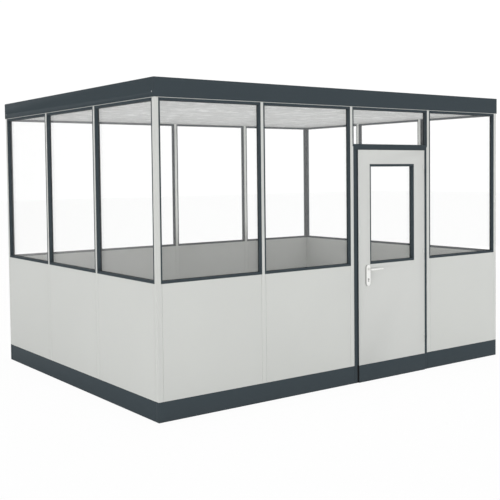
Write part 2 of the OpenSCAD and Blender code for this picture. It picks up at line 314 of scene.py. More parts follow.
def float_glass(name):
    """See-through glass with a faint film of dust outside, where it also mirrors, more so at a flat angle."""
    pane, tree, plain, place = new_skin(name)
    tree.nodes.remove(plain)
    film = between(tree, noise(tree, place, 5.0, 4.0), 0.056, 0.062)
    edge_on = step(tree, "ShaderNodeLayerWeight", {"Blend": 0.5}).outputs["Facing"]
    mirror = sums(tree, "MULTIPLY_ADD", sums(tree, "POWER", edge_on, 5.0), 0.8, film, use_clamp=True)
    from_middle = arrows(tree, "SUBTRACT", place, (0, middle.y, 0))
    outwards = step(tree, "ShaderNodeVectorMath", {0: from_middle, 1: place.node.outputs["Normal"]},
                    operation="DOT_PRODUCT").outputs["Value"]
    mirror = sums(tree, "MULTIPLY", mirror, sums(tree, "GREATER_THAN", outwards, 0.0))
    clear = step(tree, "ShaderNodeBsdfTransparent", {"Color": (0.999, 1.0, 0.9995, 1)})
    sharp = step(tree, "ShaderNodeBsdfAnisotropic", {"Color": (1, 1, 1, 1), "Roughness": 0.02})
    emboss(tree, sharp, noise(tree, place, 1.1, 1.0), 0.03, 0.01)
    dust = step(tree, "ShaderNodeBsdfDiffuse", {"Color": (0.96, 0.95, 0.94, 1)})
    shine = step(tree, "ShaderNodeMixShader", {0: 0.65, 1: sharp.outputs[0], 2: dust.outputs[0]})
    both = step(tree, "ShaderNodeMixShader", {0: mirror, 1: clear.outputs[0], 2: shine.outputs[0]})
    tree.links.new(both.outputs[0], tree.nodes["Material Output"].inputs["Surface"])
    return pane


def coated(node, coat):
    """Gives its finish to a solid that stays as it is."""
    for place in frame["nodes"][node].material_slots:
        place.material = coat


glass = float_glass("clear_float_glass")
for node in ("front_glass", "back_glass", "left_glass", "right_glass", "transom_glass"):
    coated(node, glass)

# ==== Glazing gaskets ====
# Black rubber beads pressed in between glass and bars, on both sides of each pane.
# Each runs round the corners in one length.


def rubber(name):
    """Black rubber, matt and finely grained, greyer where it is rubbed."""
    skin, tree, shader, place = new_skin(name)
    bloom = noise(tree, place, 9.0, 5.0)
    black = two_tone(tree, between(tree, bloom, 0, 1), (0.012, 0.012, 0.013), (0.022, 0.022, 0.023))
    paint(tree, shader, black, between(tree, bloom, 0.62, 0.78), 0.25)
    emboss(tree, shader, noise(tree, place, 900.0, 2.0), 0.2, 0.0003)
    return skin


def joined(tree, **parts):
    """A vector out of its named parts."""
    return step(tree, "ShaderNodeCombineXYZ", parts).outputs[0]


def making_tree(name, sizes):
    """An empty geometry tree that takes seats, the named sizes and a material."""
    tree = bpy.data.node_groups.new(name, "GeometryNodeTree")
    ways = tree.interface
    ways.new_socket("Seats", in_out="INPUT", socket_type="NodeSocketGeometry")
    for label in sizes:
        kind = "NodeSocketInt" if label.startswith("Number") else "NodeSocketFloat"
        ways.new_socket(label, in_out="INPUT", socket_type=kind)
    ways.new_socket("Material", in_out="INPUT", socket_type="NodeSocketMaterial")
    ways.new_socket("Piece", in_out="OUTPUT", socket_type="NodeSocketGeometry")
    return tree, step(tree, "NodeGroupInput").outputs


def end_tree(tree, shape, given):
    """Makes the copies real, gives them the material and hands them out."""
    real = step(tree, "GeometryNodeRealizeInstances", {"Geometry": shape}).outputs[0]
    done = step(tree, "GeometryNodeSetMaterial", {"Geometry": real, "Material": given["Material"]})
    step(tree, "NodeGroupOutput", {0: done.outputs[0]})
    return tree


def seats(name, points):
    """A mesh of loose points, each with the way it faces."""
    mesh = bpy.data.meshes.new(name)
    mesh.from_pydata([point for point, way in points], [], [])
    ways = mesh.attributes.new("facing", "FLOAT_VECTOR", "POINT")
    for k, (point, way) in enumerate(points):
        ways.data[k].vector = way
    return mesh


def made(name, tree, seat, **sizes):
    """The plain mesh that a geometry tree makes on its seats with these sizes."""
    piece = linked(name, seat)
    work = piece.modifiers.new("making", "NODES")
    work.node_group = tree
    for socket in tree.interface.items_tree:
        key = socket.name.lower().replace(" ", "_")
        if socket.in_out == "INPUT" and key in sizes:
            work[socket.identifier] = sizes[key]
    graph = bpy.context.evaluated_depsgraph_get()
    skin = bpy.data.meshes.new_from_object(piece.evaluated_get(graph), depsgraph=graph)
    piece.modifiers.remove(work)
    skin.name = name
    piece.data = skin
    piece.data.shade_smooth()
    piece.data.set_sharp_from_angle(angle=math.radians(40))
    return piece


def copies(tree, points, part, **turn):
    """Copies a part to every point."""
    return step(tree, "GeometryNodeInstanceOnPoints", {"Points": points, "Instance": part, **turn}).outputs[0]


def on_seats(tree, given, part, axis, pivot):
    """Copies a part to every seat, with its axis along the way that the seat faces."""
    way = step(tree, "GeometryNodeInputNamedAttribute", {"Name": "facing"}, data_type="FLOAT_VECTOR")
    turn = step(tree, "FunctionNodeAlignRotationToVector", {"Vector": way.outputs[0]},
                axis=axis, pivot_axis=pivot)
    return copies(tree, given["Seats"], part, Rotation=turn.outputs[0])


def gasket_tree():
    """A round rubber bead inside an upright opening, once before and once behind the glass."""
    tree, given = making_tree("gasket", ["Width", "Height", "Corner", "Bead", "Outer depth", "Inner depth"])
    loop = step(tree, "GeometryNodeCurvePrimitiveQuadrilateral", {
        "Width": given["Width"], "Height": given["Height"]}).outputs[0]
    bent = step(tree, "GeometryNodeFilletCurve", {"Curve": loop, "Radius": given["Corner"], "Count": 3},
                mode="POLY").outputs[0]
    ring = step(tree, "GeometryNodeCurvePrimitiveCircle", {"Resolution": 8, "Radius": given["Bead"]})
    bead = step(tree, "GeometryNodeCurveToMesh", {
        "Curve": bent, "Profile Curve": ring.outputs[0]}).outputs[0]
    both = step(tree, "GeometryNodeJoinGeometry")
    for depth in ("Outer depth", "Inner depth"):
        spot = joined(tree, Y=given[depth])
        upright = step(tree, "GeometryNodeTransform", {
            "Geometry": bead, "Translation": spot, "Rotation": (math.radians(90), 0, 0)})
        tree.links.new(upright.outputs[0], both.inputs[0])
    return end_tree(tree, on_seats(tree, given, both.outputs[0], "Y", "Z"), given)


# Black rubber for the real seals and gaskets, also used for black blocks that are painted shade.
black_rubber = rubber("black_rubber")
gasket = gasket_tree()
bead, pressed = 0.0012, 0.001


def beaded(name, points, wide, high, depth, body):
    """Gaskets for panes of one size in bars of one depth."""
    beads = made(name, gasket, seats(name + "_seats", points),
                 width=wide - 2 * stile - bead, height=high - 2 * rail - bead, corner=0.004, bead=bead,
                 outer_depth=depth - glass_out - pressed, inner_depth=depth - glass_in + pressed,
                 material=black_rubber)
    fit(beads, body, "anthracite_frame")


half_up = Vector((0, 0, (lintel - sill) / 2))
points = [(centre + half_up, inward[wall]) for wall, centres in windows.items() for centre in centres]
beaded("window_gaskets", points, width, lintel - sill, bar_depth, "office")
over_middle = (over_low + over_high) / 2
beaded("gaskets_over_the_door", [((over_middle.x, over_low.y, over_middle.z), (0, 1, 0))],
       over_high.x - over_low.x, over_high.z - over_low.z, bar_depth, "office")

# ==== Top rails ====
# Rolled steel rails over posts and windows, powder coated in light grey.
# Bolted down on the posts, they tie the walls together and carry the roof.

for node in ("front_top_rail", "back_top_rail", "left_top_rail", "right_top_rail"):
    fit(eased(node, node + "_tie", 0.0015, light_grey), "office", "light_grey_panel", node)

# ==== Roof deck ====
# Flat boards with a coated sheet on top, laid from front to back on the top rails.
# Zinc-coated cover strips screwed over the joints keep dust out.


def roof_paint(name):
    """Pale coated sheet, dusty and a little streaked, as a roof nobody cleans is."""
    skin, tree, shader, place = new_skin(name)
    stretch = step(tree, "ShaderNodeMapping", {"Vector": place, "Scale": (1.4, 0.35, 1.0)}).outputs[0]
    streak = noise(tree, stretch, 2.5, 6.0)
    specks = noise(tree, place, 160.0, 3.0)
    pale = two_tone(tree, between(tree, streak, 0, 1), (0.485, 0.495, 0.485), (0.535, 0.545, 0.53))
    paint(tree, shader, pale, between(tree, specks, 0.55, 0.75))
    emboss(tree, shader, specks, 0.1, 0.0005)
    return skin


def bare_metal(name, tone, rough, brushed):
    """Satin metal, brushed along one way."""
    skin, tree, shader, place = new_skin(name)
    stretch = step(tree, "ShaderNodeMapping", {"Vector": place, "Scale": brushed}).outputs[0]
    lines = noise(tree, stretch, 700.0, 3.0)
    cloud = noise(tree, place, 14.0, 4.0)
    clouded = two_tone(tree, between(tree, cloud, 0, 1), [c * 0.96 for c in tone], tone)
    paint(tree, shader, clouded, between(tree, lines, rough * 0.85, rough * 1.2))
    shader.inputs["Metallic"].default_value = 1.0
    emboss(tree, shader, lines, 0.04, 0.0002)
    return skin


def block(tree, size, spot):
    """A block of this size with its middle at the spot."""
    solid = step(tree, "GeometryNodeMeshCube", {"Size": size}).outputs["Mesh"]
    return step(tree, "GeometryNodeTransform", {"Geometry": solid, "Translation": spot}).outputs[0]


def fastener_tree():
    """A low round head, with a cross slot where one is asked for, standing along its seat's facing."""
    tree, given = making_tree("fastener", ["Head", "Height", "Cross"])
    half = sums(tree, "MULTIPLY", given["Head"], 0.5)
    crown = sums(tree, "MULTIPLY", given["Head"], 0.34)
    head = step(tree, "GeometryNodeMeshCone", {
        "Vertices": 18, "Radius Top": crown, "Radius Bottom": half, "Depth": given["Height"]}).outputs["Mesh"]
    thin = sums(tree, "MULTIPLY", given["Cross"], 0.22)
    up = joined(tree, Z=given["Height"])
    cut = step(tree, "GeometryNodeMeshBoolean", {"Mesh 1": head}, operation="DIFFERENCE", solver="EXACT")
    for x, y in ((given["Cross"], thin), (thin, given["Cross"])):
        blade = block(tree, joined(tree, X=x, Y=y, Z=given["Height"]), up)
        tree.links.new(blade, cut.inputs["Mesh 2"])
    return end_tree(tree, on_seats(tree, given, cut.outputs["Mesh"], "Z", "AUTO"), given)


def row_of(tree, given):
    """Points in a row across, about the middle."""
    ways = joined(tree, X=given["Spacing"])
    run = sums(tree, "SUBTRACT", given["Number"], 1.0)
    start = arrows(tree, "SCALE", ways, Scale=sums(tree, "MULTIPLY", run, -0.5))
    return step(tree, "GeometryNodeMeshLine", {
        "Count": given["Number"], "Start Location": start, "Offset": ways}, mode="OFFSET").outputs[0]


def lying(tree, wide, long, thick):
    """A flat block with its underside at no height."""
    lift = joined(tree, Z=sums(tree, "MULTIPLY", thick, 0.5))
    return block(tree, joined(tree, X=wide, Y=long, Z=thick), lift)


def strip_tree():
    """Flat strips side by side, each pressed up along its middle."""
    tree, given = making_tree("cover_strips", ["Number", "Spacing", "Width", "Length", "Thickness"])
    parts = step(tree, "GeometryNodeJoinGeometry")
    for share, level in ((1.0, 0.5), (0.55, 1.0)):
        wide = sums(tree, "MULTIPLY", given["Width"], share)
        thick = sums(tree, "MULTIPLY", given["Thickness"], level)
        tree.links.new(lying(tree, wide, given["Length"], thick), parts.inputs[0])
    rows = copies(tree, row_of(tree, given), parts.outputs[0])
    return end_tree(tree, copies(tree, given["Seats"], rows), given)


def fasten(name, points, head, height, cross, coat, body, slot):
    """Screws or rivets of one size on their seats, fixed to their body."""
    heads = made(name, fastener, seats(name + "_seats", points),
                 head=head, height=height, cross=cross, material=coat)
    fit(heads, body, slot)


coated("roof_deck", roof_paint("pale_roof_sheet"))

zinc = bare_metal("zinc_coated_steel", (0.62, 0.63, 0.64), 0.38, (1, 1, 1))
deck_low, deck_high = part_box("roof_deck")
short_of_edge, strip_thick, screw_out = 0.07, 0.002, 0.026
strip_length = deck_high.y - deck_low.y - 2 * short_of_edge
strips = made("deck_joint_strips", strip_tree(),
              seats("deck_seat", [((0, middle.y, deck_high.z), (0, 0, 1))]), number=3, spacing=bay,
              width=0.07, length=strip_length, thickness=strip_thick, material=zinc)
fit(strips, "office", "satin_metal")

fastener = fastener_tree()
points = [((x + side * screw_out, middle.y + strip_length * k / 14, deck_high.z + strip_thick / 2), (0, 0, 1))
          for x in (-bay, 0, bay) for side in (-1, 1) for k in range(-6, 7, 2)]
fasten("deck_screws", points, 0.010, 0.0028, 0.005, zinc, "office", "satin_metal")

# ==== Fascia ====
# Folded anthracite sheet round the edge of the roof, standing a little off the walls.
# Its top flange lies on the deck. Front and back wrap the corners and are riveted to the sides.


def cut_from(piece, cutter):
    """Takes the cutter out of a piece for good, and throws the cutter away."""
    work = piece.modifiers.new("cut", "BOOLEAN")
    work.operation = "DIFFERENCE"
    work.solver = "EXACT"
    work.object = cutter
    while piece.modifiers[0] != work:
        piece.modifiers.move(len(piece.modifiers) - 1, 0)
    others = [other for other in piece.modifiers if other != work]
    for other in others:
        other.show_viewport = False
    graph = bpy.context.evaluated_depsgraph_get()
    skin = bpy.data.meshes.new_from_object(piece.evaluated_get(graph), depsgraph=graph)
    for other in others:
        other.show_viewport = True
    piece.modifiers.remove(work)
    piece.data = skin
    bpy.data.objects.remove(cutter)


front_edge, back_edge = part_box("front_fascia"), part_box("back_fascia")
rivet_z, rivet_in, rivet_sunk = front_edge[0].z + 0.041, 0.034, 0.0014
aluminium = bare_metal("aluminium_rivets", (0.60, 0.61, 0.62), 0.35, (1, 1, 1))
for node, side in (("front_fascia", 0), ("back_fascia", 0), ("left_fascia", -1), ("right_fascia", 1)):
    folded = eased(node, node + "_sheet", 0.0012, anthracite)
    fit(folded, "office", "anthracite_frame", node)
    if side:
        points = [((side * (front_edge[1].x - rivet_sunk), y, rivet_z), (side, 0, 0))
                  for y in (front_edge[0].y + rivet_in, back_edge[1].y - rivet_in)]
        cut_from(folded, made(node + "_sinks", fastener, seats(node + "_sink_seats", points),
                              head=0.0125, height=0.004, cross=0.0, material=anthracite))
        fasten(node + "_rivets", points, 0.010, 0.0013, 0.0, aluminium, "office", "satin_metal")

# ==== Ceiling ====
# A hung ceiling of white mineral-fibre tiles, 625 mm from bar to bar, laid loose on white steel bars.
# An angle round the walls carries the cut tiles at the edge.


def mineral_tile(name):
    """White mineral fibre with fine fissures and pinholes, which are darkened with painted shade."""
    skin, tree, shader, place = new_skin(name)
    cloud = noise(tree, place, 9.0, 3.0)
    stretch = step(tree, "ShaderNodeMapping", {"Vector": place, "Scale": (1.0, 2.6, 1.0)}).outputs[0]
    worms = noise(tree, stretch, 70.0, 3.0, Distortion=1.2)
    holes = step(tree, "ShaderNodeTexVoronoi", {"Vector": place, "Scale": 240.0}).outputs["Distance"]
    fissure = between(tree, worms, 1, 0, 0.30, 0.38)
    pin = between(tree, holes, 1, 0, 0.10, 0.20)
    pits = sums(tree, "MAXIMUM", fissure, pin)
    face = two_tone(tree, between(tree, cloud, 0, 1, 0.50, 0.63), (0.750, 0.755, 0.750), (0.955, 0.96, 0.955))
    # The fissures and pinholes are painted grey: painted shade in the pits, besides their relief.
    tree.links.new(two_tone(tree, pits, face, (0.50, 0.51, 0.50)), shader.inputs["Base Color"])
    shader.inputs["Roughness"].default_value = 0.9
    shader.inputs["Specular IOR Level"].default_value = 0.2
    emboss(tree, shader, pits, 0.35, 0.001, invert=True)
    return skin


def bar_tree():
    """T-bars in a row: a flange towards the room and a web standing on it."""
    tree, given = making_tree("ceiling_bars", ["Number", "Spacing", "Length", "Flange", "Web", "Sheet"])
    bar = step(tree, "GeometryNodeJoinGeometry")
    for wide, thick in (("Flange", "Sheet"), ("Sheet", "Web")):
        tree.links.new(lying(tree, given[wide], given["Length"], given[thick]), bar.inputs[0])
    bars = copies(tree, row_of(tree, given), bar.outputs[0])
    return end_tree(tree, on_seats(tree, given, bars, "Y", "Z"), given)


def tile_tree():
    """Tiles between the bars, cut to the walls at the edge of the room."""
    tree, given = making_tree("ceiling_tiles", [
        "Number across", "Number along", "Module", "Half room across", "Half room along", "Gap", "Thickness"])
    reach = [sums(tree, "MULTIPLY", sums(tree, "SUBTRACT", given[number], 1.0), given["Module"])
             for number in ("Number across", "Number along")]
    grid = step(tree, "GeometryNodeMeshGrid", {
        "Size X": reach[0], "Size Y": reach[1],
        "Vertices X": given["Number across"], "Vertices Y": given["Number along"]}).outputs["Mesh"]
    centre = step(tree, "GeometryNodeInputPosition").outputs[0]
    half = sums(tree, "MULTIPLY", given["Module"], 0.5)
    cell = joined(tree, X=half, Y=half)
    room = joined(tree, X=given["Half room across"], Y=given["Half room along"])
    minus = arrows(tree, "SCALE", room, Scale=-1.0)
    least = arrows(tree, "MAXIMUM", arrows(tree, "SUBTRACT", centre, cell), minus)
    most = arrows(tree, "MINIMUM", arrows(tree, "ADD", centre, cell), room)
    spot = arrows(tree, "SCALE", arrows(tree, "ADD", most, least), Scale=0.5)
    gap = joined(tree, X=given["Gap"], Y=given["Gap"])
    flat = arrows(tree, "SUBTRACT", arrows(tree, "SUBTRACT", most, least), gap)
    kept = step(tree, "GeometryNodeCaptureAttribute", {"Geometry": grid})
    kept.capture_items.new("VECTOR", "Size")
    tree.links.new(arrows(tree, "ADD", flat, joined(tree, Z=given["Thickness"])), kept.inputs["Size"])
    placed = step(tree, "GeometryNodeSetPosition", {
        "Geometry": kept.outputs["Geometry"], "Position": spot}).outputs[0]
    tile = step(tree, "GeometryNodeMeshCube", {"Size": (1.0, 1.0, 1.0)}).outputs["Mesh"]
    tiles = copies(tree, placed, tile, Scale=kept.outputs["Size"])
    return end_tree(tree, copies(tree, given["Seats"], tiles), given)


module = 0.625
hung_low, hung_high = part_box("ceiling")
room_across, room_along = hung_high.x - hung_low.x, hung_high.y - hung_low.y
tile_face = mineral_tile("mineral_fibre_tiles")
white_steel = powder_coat("white_ceiling_bars", (0.80, 0.81, 0.80), 0.05, 0.0, 0.30)
bar_z, flange, web, sheet, play = hung_low.z + 0.0006, 0.024, 0.036, 0.0012, 0.004
ceiling_bars = bar_tree()
for name, number, lift, room, deep, way, nodes in (
        ("ceiling_main_bars", 7, 0.0, room_along, web, (0, 1, 0), ["ceiling"]),
        ("ceiling_cross_bars", 5, 0.0004, room_across, web - 0.002, (1, 0, 0), [])):
    bars = made(name, ceiling_bars, seats(name + "_seat", [((0, middle.y, bar_z + lift), way)]),
                number=number, spacing=module, length=room - play, flange=flange, web=deep,
                sheet=sheet, material=white_steel)
    fit(bars, "office", "ceiling_white", *nodes)
tiles = made("ceiling_tiles", tile_tree(),
             seats("tile_seat", [((0, middle.y, bar_z + sheet + 0.0085), (0, 0, 1))]),
             number_across=8, number_along=6, module=module, half_room_across=room_across / 2,
             half_room_along=room_along / 2, gap=0.007, thickness=0.015, material=tile_face)
fit(tiles, "office", "ceiling_white")


def angle_section(width):
    """An L of thin sheet: a leg up the wall and a leg under the tiles."""
    thin, tall = 0.001, 0.020
    return [(0, 0), (width, 0), (width, thin), (thin, thin), (thin, tall), (0, tall)]


shape = bmesh.new()
leg, off_wall = 0.022, 0.0005
flat = Matrix(((1, 0, 0, hung_low.x + off_wall), (0, 0, 1, hung_low.y + off_wall),
               (0, 1, 0, hung_low.z + 0.0001), (0, 0, 0, 1)))
mitred_bars(shape, flat, room_across - 2 * off_wall, room_along - 2 * off_wall, leg, leg, angle_section)
finished("ceiling_wall_angle", shape, 0.0002, white_steel, "office", "ceiling_white")

# ==== Door frame ====
# Anthracite steel jambs and head screwed between the posts. A rubber lip seals the head behind the
# leaf's flange. A black strip as high as the kick plate stands on the jamb beside the leaf: painted shade for
# the gap there.
# The strike plate is screwed to the left jamb at the height of the lock.

for node in ("door_jambs", "door_head"):
    fit(eased(node, node + "_steel", 0.0015, anthracite), "office", "anthracite_frame", node)

leaf_low, leaf_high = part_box("door_leaf")


def seal_section(width):
    """A rubber lip that stands on the frame and stops just short of the flange."""
    proud = 0.0046
    return [(0, 0), (0.0015, -proud), (width * 0.6, -proud), (width, 0)]


shape = bmesh.new()
lip, short = 0.008, 0.001
mitred_bars(shape, Matrix.Translation((leaf_low.x + short, wall_low.y, 0)),
            leaf_high.x - leaf_low.x - 2 * short, leaf_high.z - short, lip, lip, seal_section, sides=(2,))
finished("door_seal", shape, 0.0003, black_rubber, "office", "anthracite_frame")


def lofted(shape, rings):
    """Skins rings of points one after another and closes both ends."""
    rows = [[shape.verts.new(point) for point in ring] for ring in rings]
    for first, second in zip(rows, rows[1:]):
        for k in range(len(first)):
            after = (k + 1) % len(first)
            shape.faces.new((first[k], first[after], second[after], second[k]))
    shape.faces.new(rows[0][::-1])
    shape.faces.new(rows[-1])


def slab(shape, low, high):
    """A plate or strip between two corners."""
    rings = [[Vector((x, y, z)) for y, z in ((low[1], low[2]), (high[1], low[2]),
                                             (high[1], high[2]), (low[1], high[2]))]
             for x in (low[0], high[0])]
    lofted(shape, rings)


kick_low, kick_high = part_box("door_kick_plate")
# The black strip on the jamb beside the kick plate is painted shade: it darkens the gap between jamb and
# leaf.
foot_wide, foot_thick, foot_clear = 0.0085, 0.0016, 0.0005
foot_x = leaf_low.x - foot_clear
shape = bmesh.new()
slab(shape, (foot_x - foot_wide, wall_low.y - foot_thick, 0.001), (foot_x, wall_low.y, kick_high.z))
finished("jamb_foot_seal", shape, 0.0004, black_rubber, "office", "anthracite_frame")

lever_low, lever_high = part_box("lever_handles")
plate_low, plate_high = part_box("lock_plates")
spindle_x = (plate_low.x + plate_high.x) / 2
spindle_z = (lever_low.z + lever_high.z) / 2
jamb_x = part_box("door_jambs")[0].x + 0.055
steel = bare_metal("brushed_steel", (0.60, 0.60, 0.59), 0.32, (1, 1, 0.04))
thick, front, back, foot, head = 0.0009, -0.018, 0.006, spindle_z - 0.165, spindle_z + 0.075
shape = bmesh.new()
slab(shape, (jamb_x, front, foot), (jamb_x + thick, back, head))
strike = arris(shown("strike_plate", shape), 0.0002, steel)
hole_middle, hole_half, bolt_down = -0.0075, 0.007, 0.092
shape = bmesh.new()
for z, tall in ((spindle_z, 0.034), (spindle_z - bolt_down, 0.044)):
    slab(shape, (jamb_x - 0.002, hole_middle - hole_half, z - tall / 2),
         (jamb_x + 0.004, hole_middle + hole_half, z + tall / 2))
cut_from(strike, shown("strike_holes", shape))
fit(strike, "office", "satin_metal")
points = [((jamb_x + thick, hole_middle, z), (1, 0, 0)) for z in (head - 0.017, foot + 0.017)]
fasten("strike_screws", points, 0.0075, 0.0008, 0.0036, zinc, "office", "satin_metal")

# ==== Door leaf ====
# A board between two coated sheets, whose outer sheet laps the frame as a flange.
# An anthracite edge trim wraps the flange down to the kick plate. Below it, black strips on the leaf's sides
# are painted shade for the gap beside the leaf.

leaf_sheet = coil_coat("door_coated_sheet", (0.650, 0.660, 0.640), 0.04)
fit(eased("door_leaf", "door_leaf_board", 0.0010, leaf_sheet), "door", "door_panel", "door_leaf")


def trim_section(width):
    """Thin strip over the side of the flange."""
    return [(0, 0), (width, 0), (width, 0.0076), (0, 0.0076)]


trim = 0.0004
shape = bmesh.new()
corner = (leaf_low.x - trim, leaf_low.y + trim, kick_high.z)
mitred_bars(shape, Matrix.Translation(corner), leaf_high.x - leaf_low.x + 2 * trim,
            leaf_high.z + trim - kick_high.z, trim, trim, trim_section, sides=(1, 2, 3))
finished("leaf_edge_trim", shape, 0.0001, anthracite, "door", "anthracite_frame")

# The black strips on the leaf's sides below the trim are painted shade for the gap beside the leaf.
lap = 0.0008
shape = bmesh.new()
for x in (leaf_low.x - lap, leaf_high.x):
    slab(shape, (x, leaf_low.y - 0.0012, leaf_low.z), (x + lap, leaf_low.y + 0.008, kick_high.z))
finished("leaf_foot_seals", shape, 0.0002, black_rubber, "door", "anthracite_frame")

# ==== Kick plate ====
# Anthracite sheet across the foot of the leaf, at the height of the base rails.
# Held by a row of small countersunk screws near its top and foot.

fit(eased("door_kick_plate", "kick_plate_sheet", 0.0006, anthracite), "door", "anthracite_frame",
    "door_kick_plate")
from_edge = 0.02
reach = kick_high.x - kick_low.x - 2 * from_edge
points = [((kick_low.x + from_edge + reach * k / 5, kick_low.y, z), (0, -1, 0))
          for k in range(6) for z in (kick_low.z + 0.018, kick_high.z - 0.014)]
fasten("kick_plate_screws", points, 0.006, 0.0007, 0.003, anthracite, "door", "anthracite_frame")

# ==== Door window ====
# A light in the upper half of the leaf, with bars, gaskets and float glass like those in the walls.
# Its mitred bars are let into an opening in the board.

light_low, light_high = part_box("door_glazing_frame")
light = light_high - light_low
shape = bmesh.new()
mitred_bars(shape, Matrix.Translation(light_low), light.x, light.z, stile, rail, glazing_bar(light.y))
finished("door_window_bars", shape, 0.0008, anthracite, "door", "anthracite_frame", "door_glazing_frame")
coated("door_glass", glass)
centre = light_low + light / 2
beaded("door_window_gaskets", [((centre.x, light_low.y, centre.z), (0, 1, 0))], light.x, light.z, light.y,
       "door")

# ==== Lock ====
# A mortice lock: forend, latch and bolt in the free edge, a profile cylinder with black painted shade in its
# key slots, and on each face a satin cover with round ends over a zinc body, whose grey is partly painted
# shade on the plates' sides, with a collar for the lever's neck.


def stadium(x, low, high, radius, y, count=12):
    """An upright ring with half-round ends."""
    ring = []
    for z, start in ((high - radius, 0.0), (low + radius, math.pi)):
        for k in range(count + 1):
            turn = start + math.pi * k / count
            ring.append(Vector((x + radius * math.cos(turn), y, z + radius * math.sin(turn))))
    return ring


def turned(shape, centre, profile, count=32):
    """A closed profile of radius and y, turned round an axis along y."""
    rows = []
    for k in range(count):
        turn = 2 * math.pi * k / count
        rows.append([shape.verts.new(centre + Vector((r * math.cos(turn), y, r * math.sin(turn))))
                     for r, y in profile])
    for k in range(count):
        first, second = rows[k], rows[(k + 1) % count]
        for j in range(len(profile)):
            after = (j + 1) % len(profile)
            shape.faces.new((first[j], first[after], second[after], second[j]))


def zinc_casting(name, tone):
    """Dull grey die-cast zinc with a fine sandy skin."""
    skin = powder_coat(name, tone, 0.30, 0.0, 0.25)
    skin.node_tree.nodes["Principled BSDF"].inputs["Metallic"].default_value = 0.25
    return skin


satin = bare_metal("satin_nickel", (0.93, 0.93, 0.91), 0.30, (0.05, 1, 1))
# The body's dark grey is partly painted shade: it darkens the plates' sides as their shade would.
casting = zinc_casting("grey_zinc_casting", (0.30, 0.30, 0.29))
radius = (plate_high.x - plate_low.x) / 2
bodies, covers, collars = bmesh.new(), bmesh.new(), bmesh.new()
for face, way in ((leaf_low.y, -1), (leaf_high.y, 1)):
    def ring(inset, deep, face=face, way=way):
        return stadium(spindle_x, plate_low.z + inset, plate_high.z - inset, radius - inset,
                       face + way * deep)
    lofted(bodies, [ring(0.0007, 0.0), ring(0.0004, 0.0006), ring(0.0004, 0.0092)])
    lofted(covers, [ring(0.0012, 0.0086), ring(0.0, 0.0088), ring(0.0, 0.0104), ring(0.0003, 0.0111),
                    ring(0.0010, 0.0117), ring(0.0022, 0.0120)])
    lip = [(0.0093, 0.0118), (0.0130, 0.0118), (0.0130, 0.0128), (0.0125, 0.0134), (0.0098, 0.0136),
           (0.0093, 0.0132)]
    turned(collars, Vector((spindle_x, face, spindle_z)), [(r, way * y) for r, y in lip])
finished("lock_plate_bodies", bodies, 0.0002, casting, "door", "satin_metal", "lock_plates")
finished("lock_plate_covers", covers, 0.0001, satin, "door", "satin_metal")
finished("lever_collars", collars, 0.0001, satin, "door", "satin_metal")

dull_nickel = bare_metal("dull_nickel", (0.50, 0.50, 0.485), 0.30, (1, 1, 1))
core = eased("lock_cylinder", "profile_cylinder", 0.0004, dull_nickel)
core_low, core_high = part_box("lock_cylinder")
axis_z = core_high.z - 0.0085
key_half, key_tall, key_deep, key_play = 0.0020, 0.0070, 0.006, 0.00002
shape = bmesh.new()
for y in (core_low.y, core_high.y):
    slab(shape, (spindle_x - key_half, y - key_deep, axis_z - key_tall),
         (spindle_x + key_half, y + key_deep, axis_z + key_tall))
cut_from(core, shown("key_cutter", shape))
fit(core, "door", "satin_metal", "lock_cylinder")
key_half, key_tall = key_half - key_play, key_tall - key_play
# A black block deep in each key slot is painted shade: it darkens the slot as its shade would.
shape = bmesh.new()
for y, way in ((core_low.y, 1), (core_high.y, -1)):
    near, far = sorted((y + way * 0.0004, y + way * (key_deep - 0.0002)))
    slab(shape, (spindle_x - key_half, near, axis_z - key_tall),
         (spindle_x + key_half, far, axis_z + key_tall))
finished("keyway_painted_shade", shape, 0.0001, black_rubber, "door", "satin_metal")

edge_x = leaf_low.x + 0.016
thick, front, back, foot, head = 0.0006, -0.019, 0.001, spindle_z - 0.170, spindle_z + 0.080
shape = bmesh.new()
slab(shape, (edge_x - thick, front, foot), (edge_x, back, head))
finished("lock_forend", shape, 0.0002, steel, "door", "satin_metal")
latch_half, latch_front, latch_back, latch_tip = 0.016, -0.0145, -0.0015, -0.0085
shape = bmesh.new()
rings = []
for out, inner in ((0, latch_back), (0.0015, latch_back), (0.0046, latch_tip)):
    rings.append([Vector((edge_x - out, y, spindle_z + up)) for y, up in (
        (latch_front, -latch_half), (inner, -latch_half), (inner, latch_half), (latch_front, latch_half))])
lofted(shape, rings)
bolt_z, bolt_half = spindle_z - 0.093, 0.019
slab(shape, (edge_x - 0.0016, -0.014, bolt_z - bolt_half), (edge_x, -0.004, bolt_z + bolt_half))
finished("latch_and_bolt", shape, 0.0003, satin, "door", "satin_metal")
points = [((edge_x - thick, (front + back) / 2, z), (-1, 0, 0)) for z in (head - 0.012, foot + 0.012)]
fasten("forend_screws", points, 0.0075, 0.0008, 0.0036, zinc, "door", "satin_metal")

# ==== Levers ====
# Cast levers in satin nickel, one on each side of the spindle. The round neck bends into a flat grip
# that tapers to its tip.


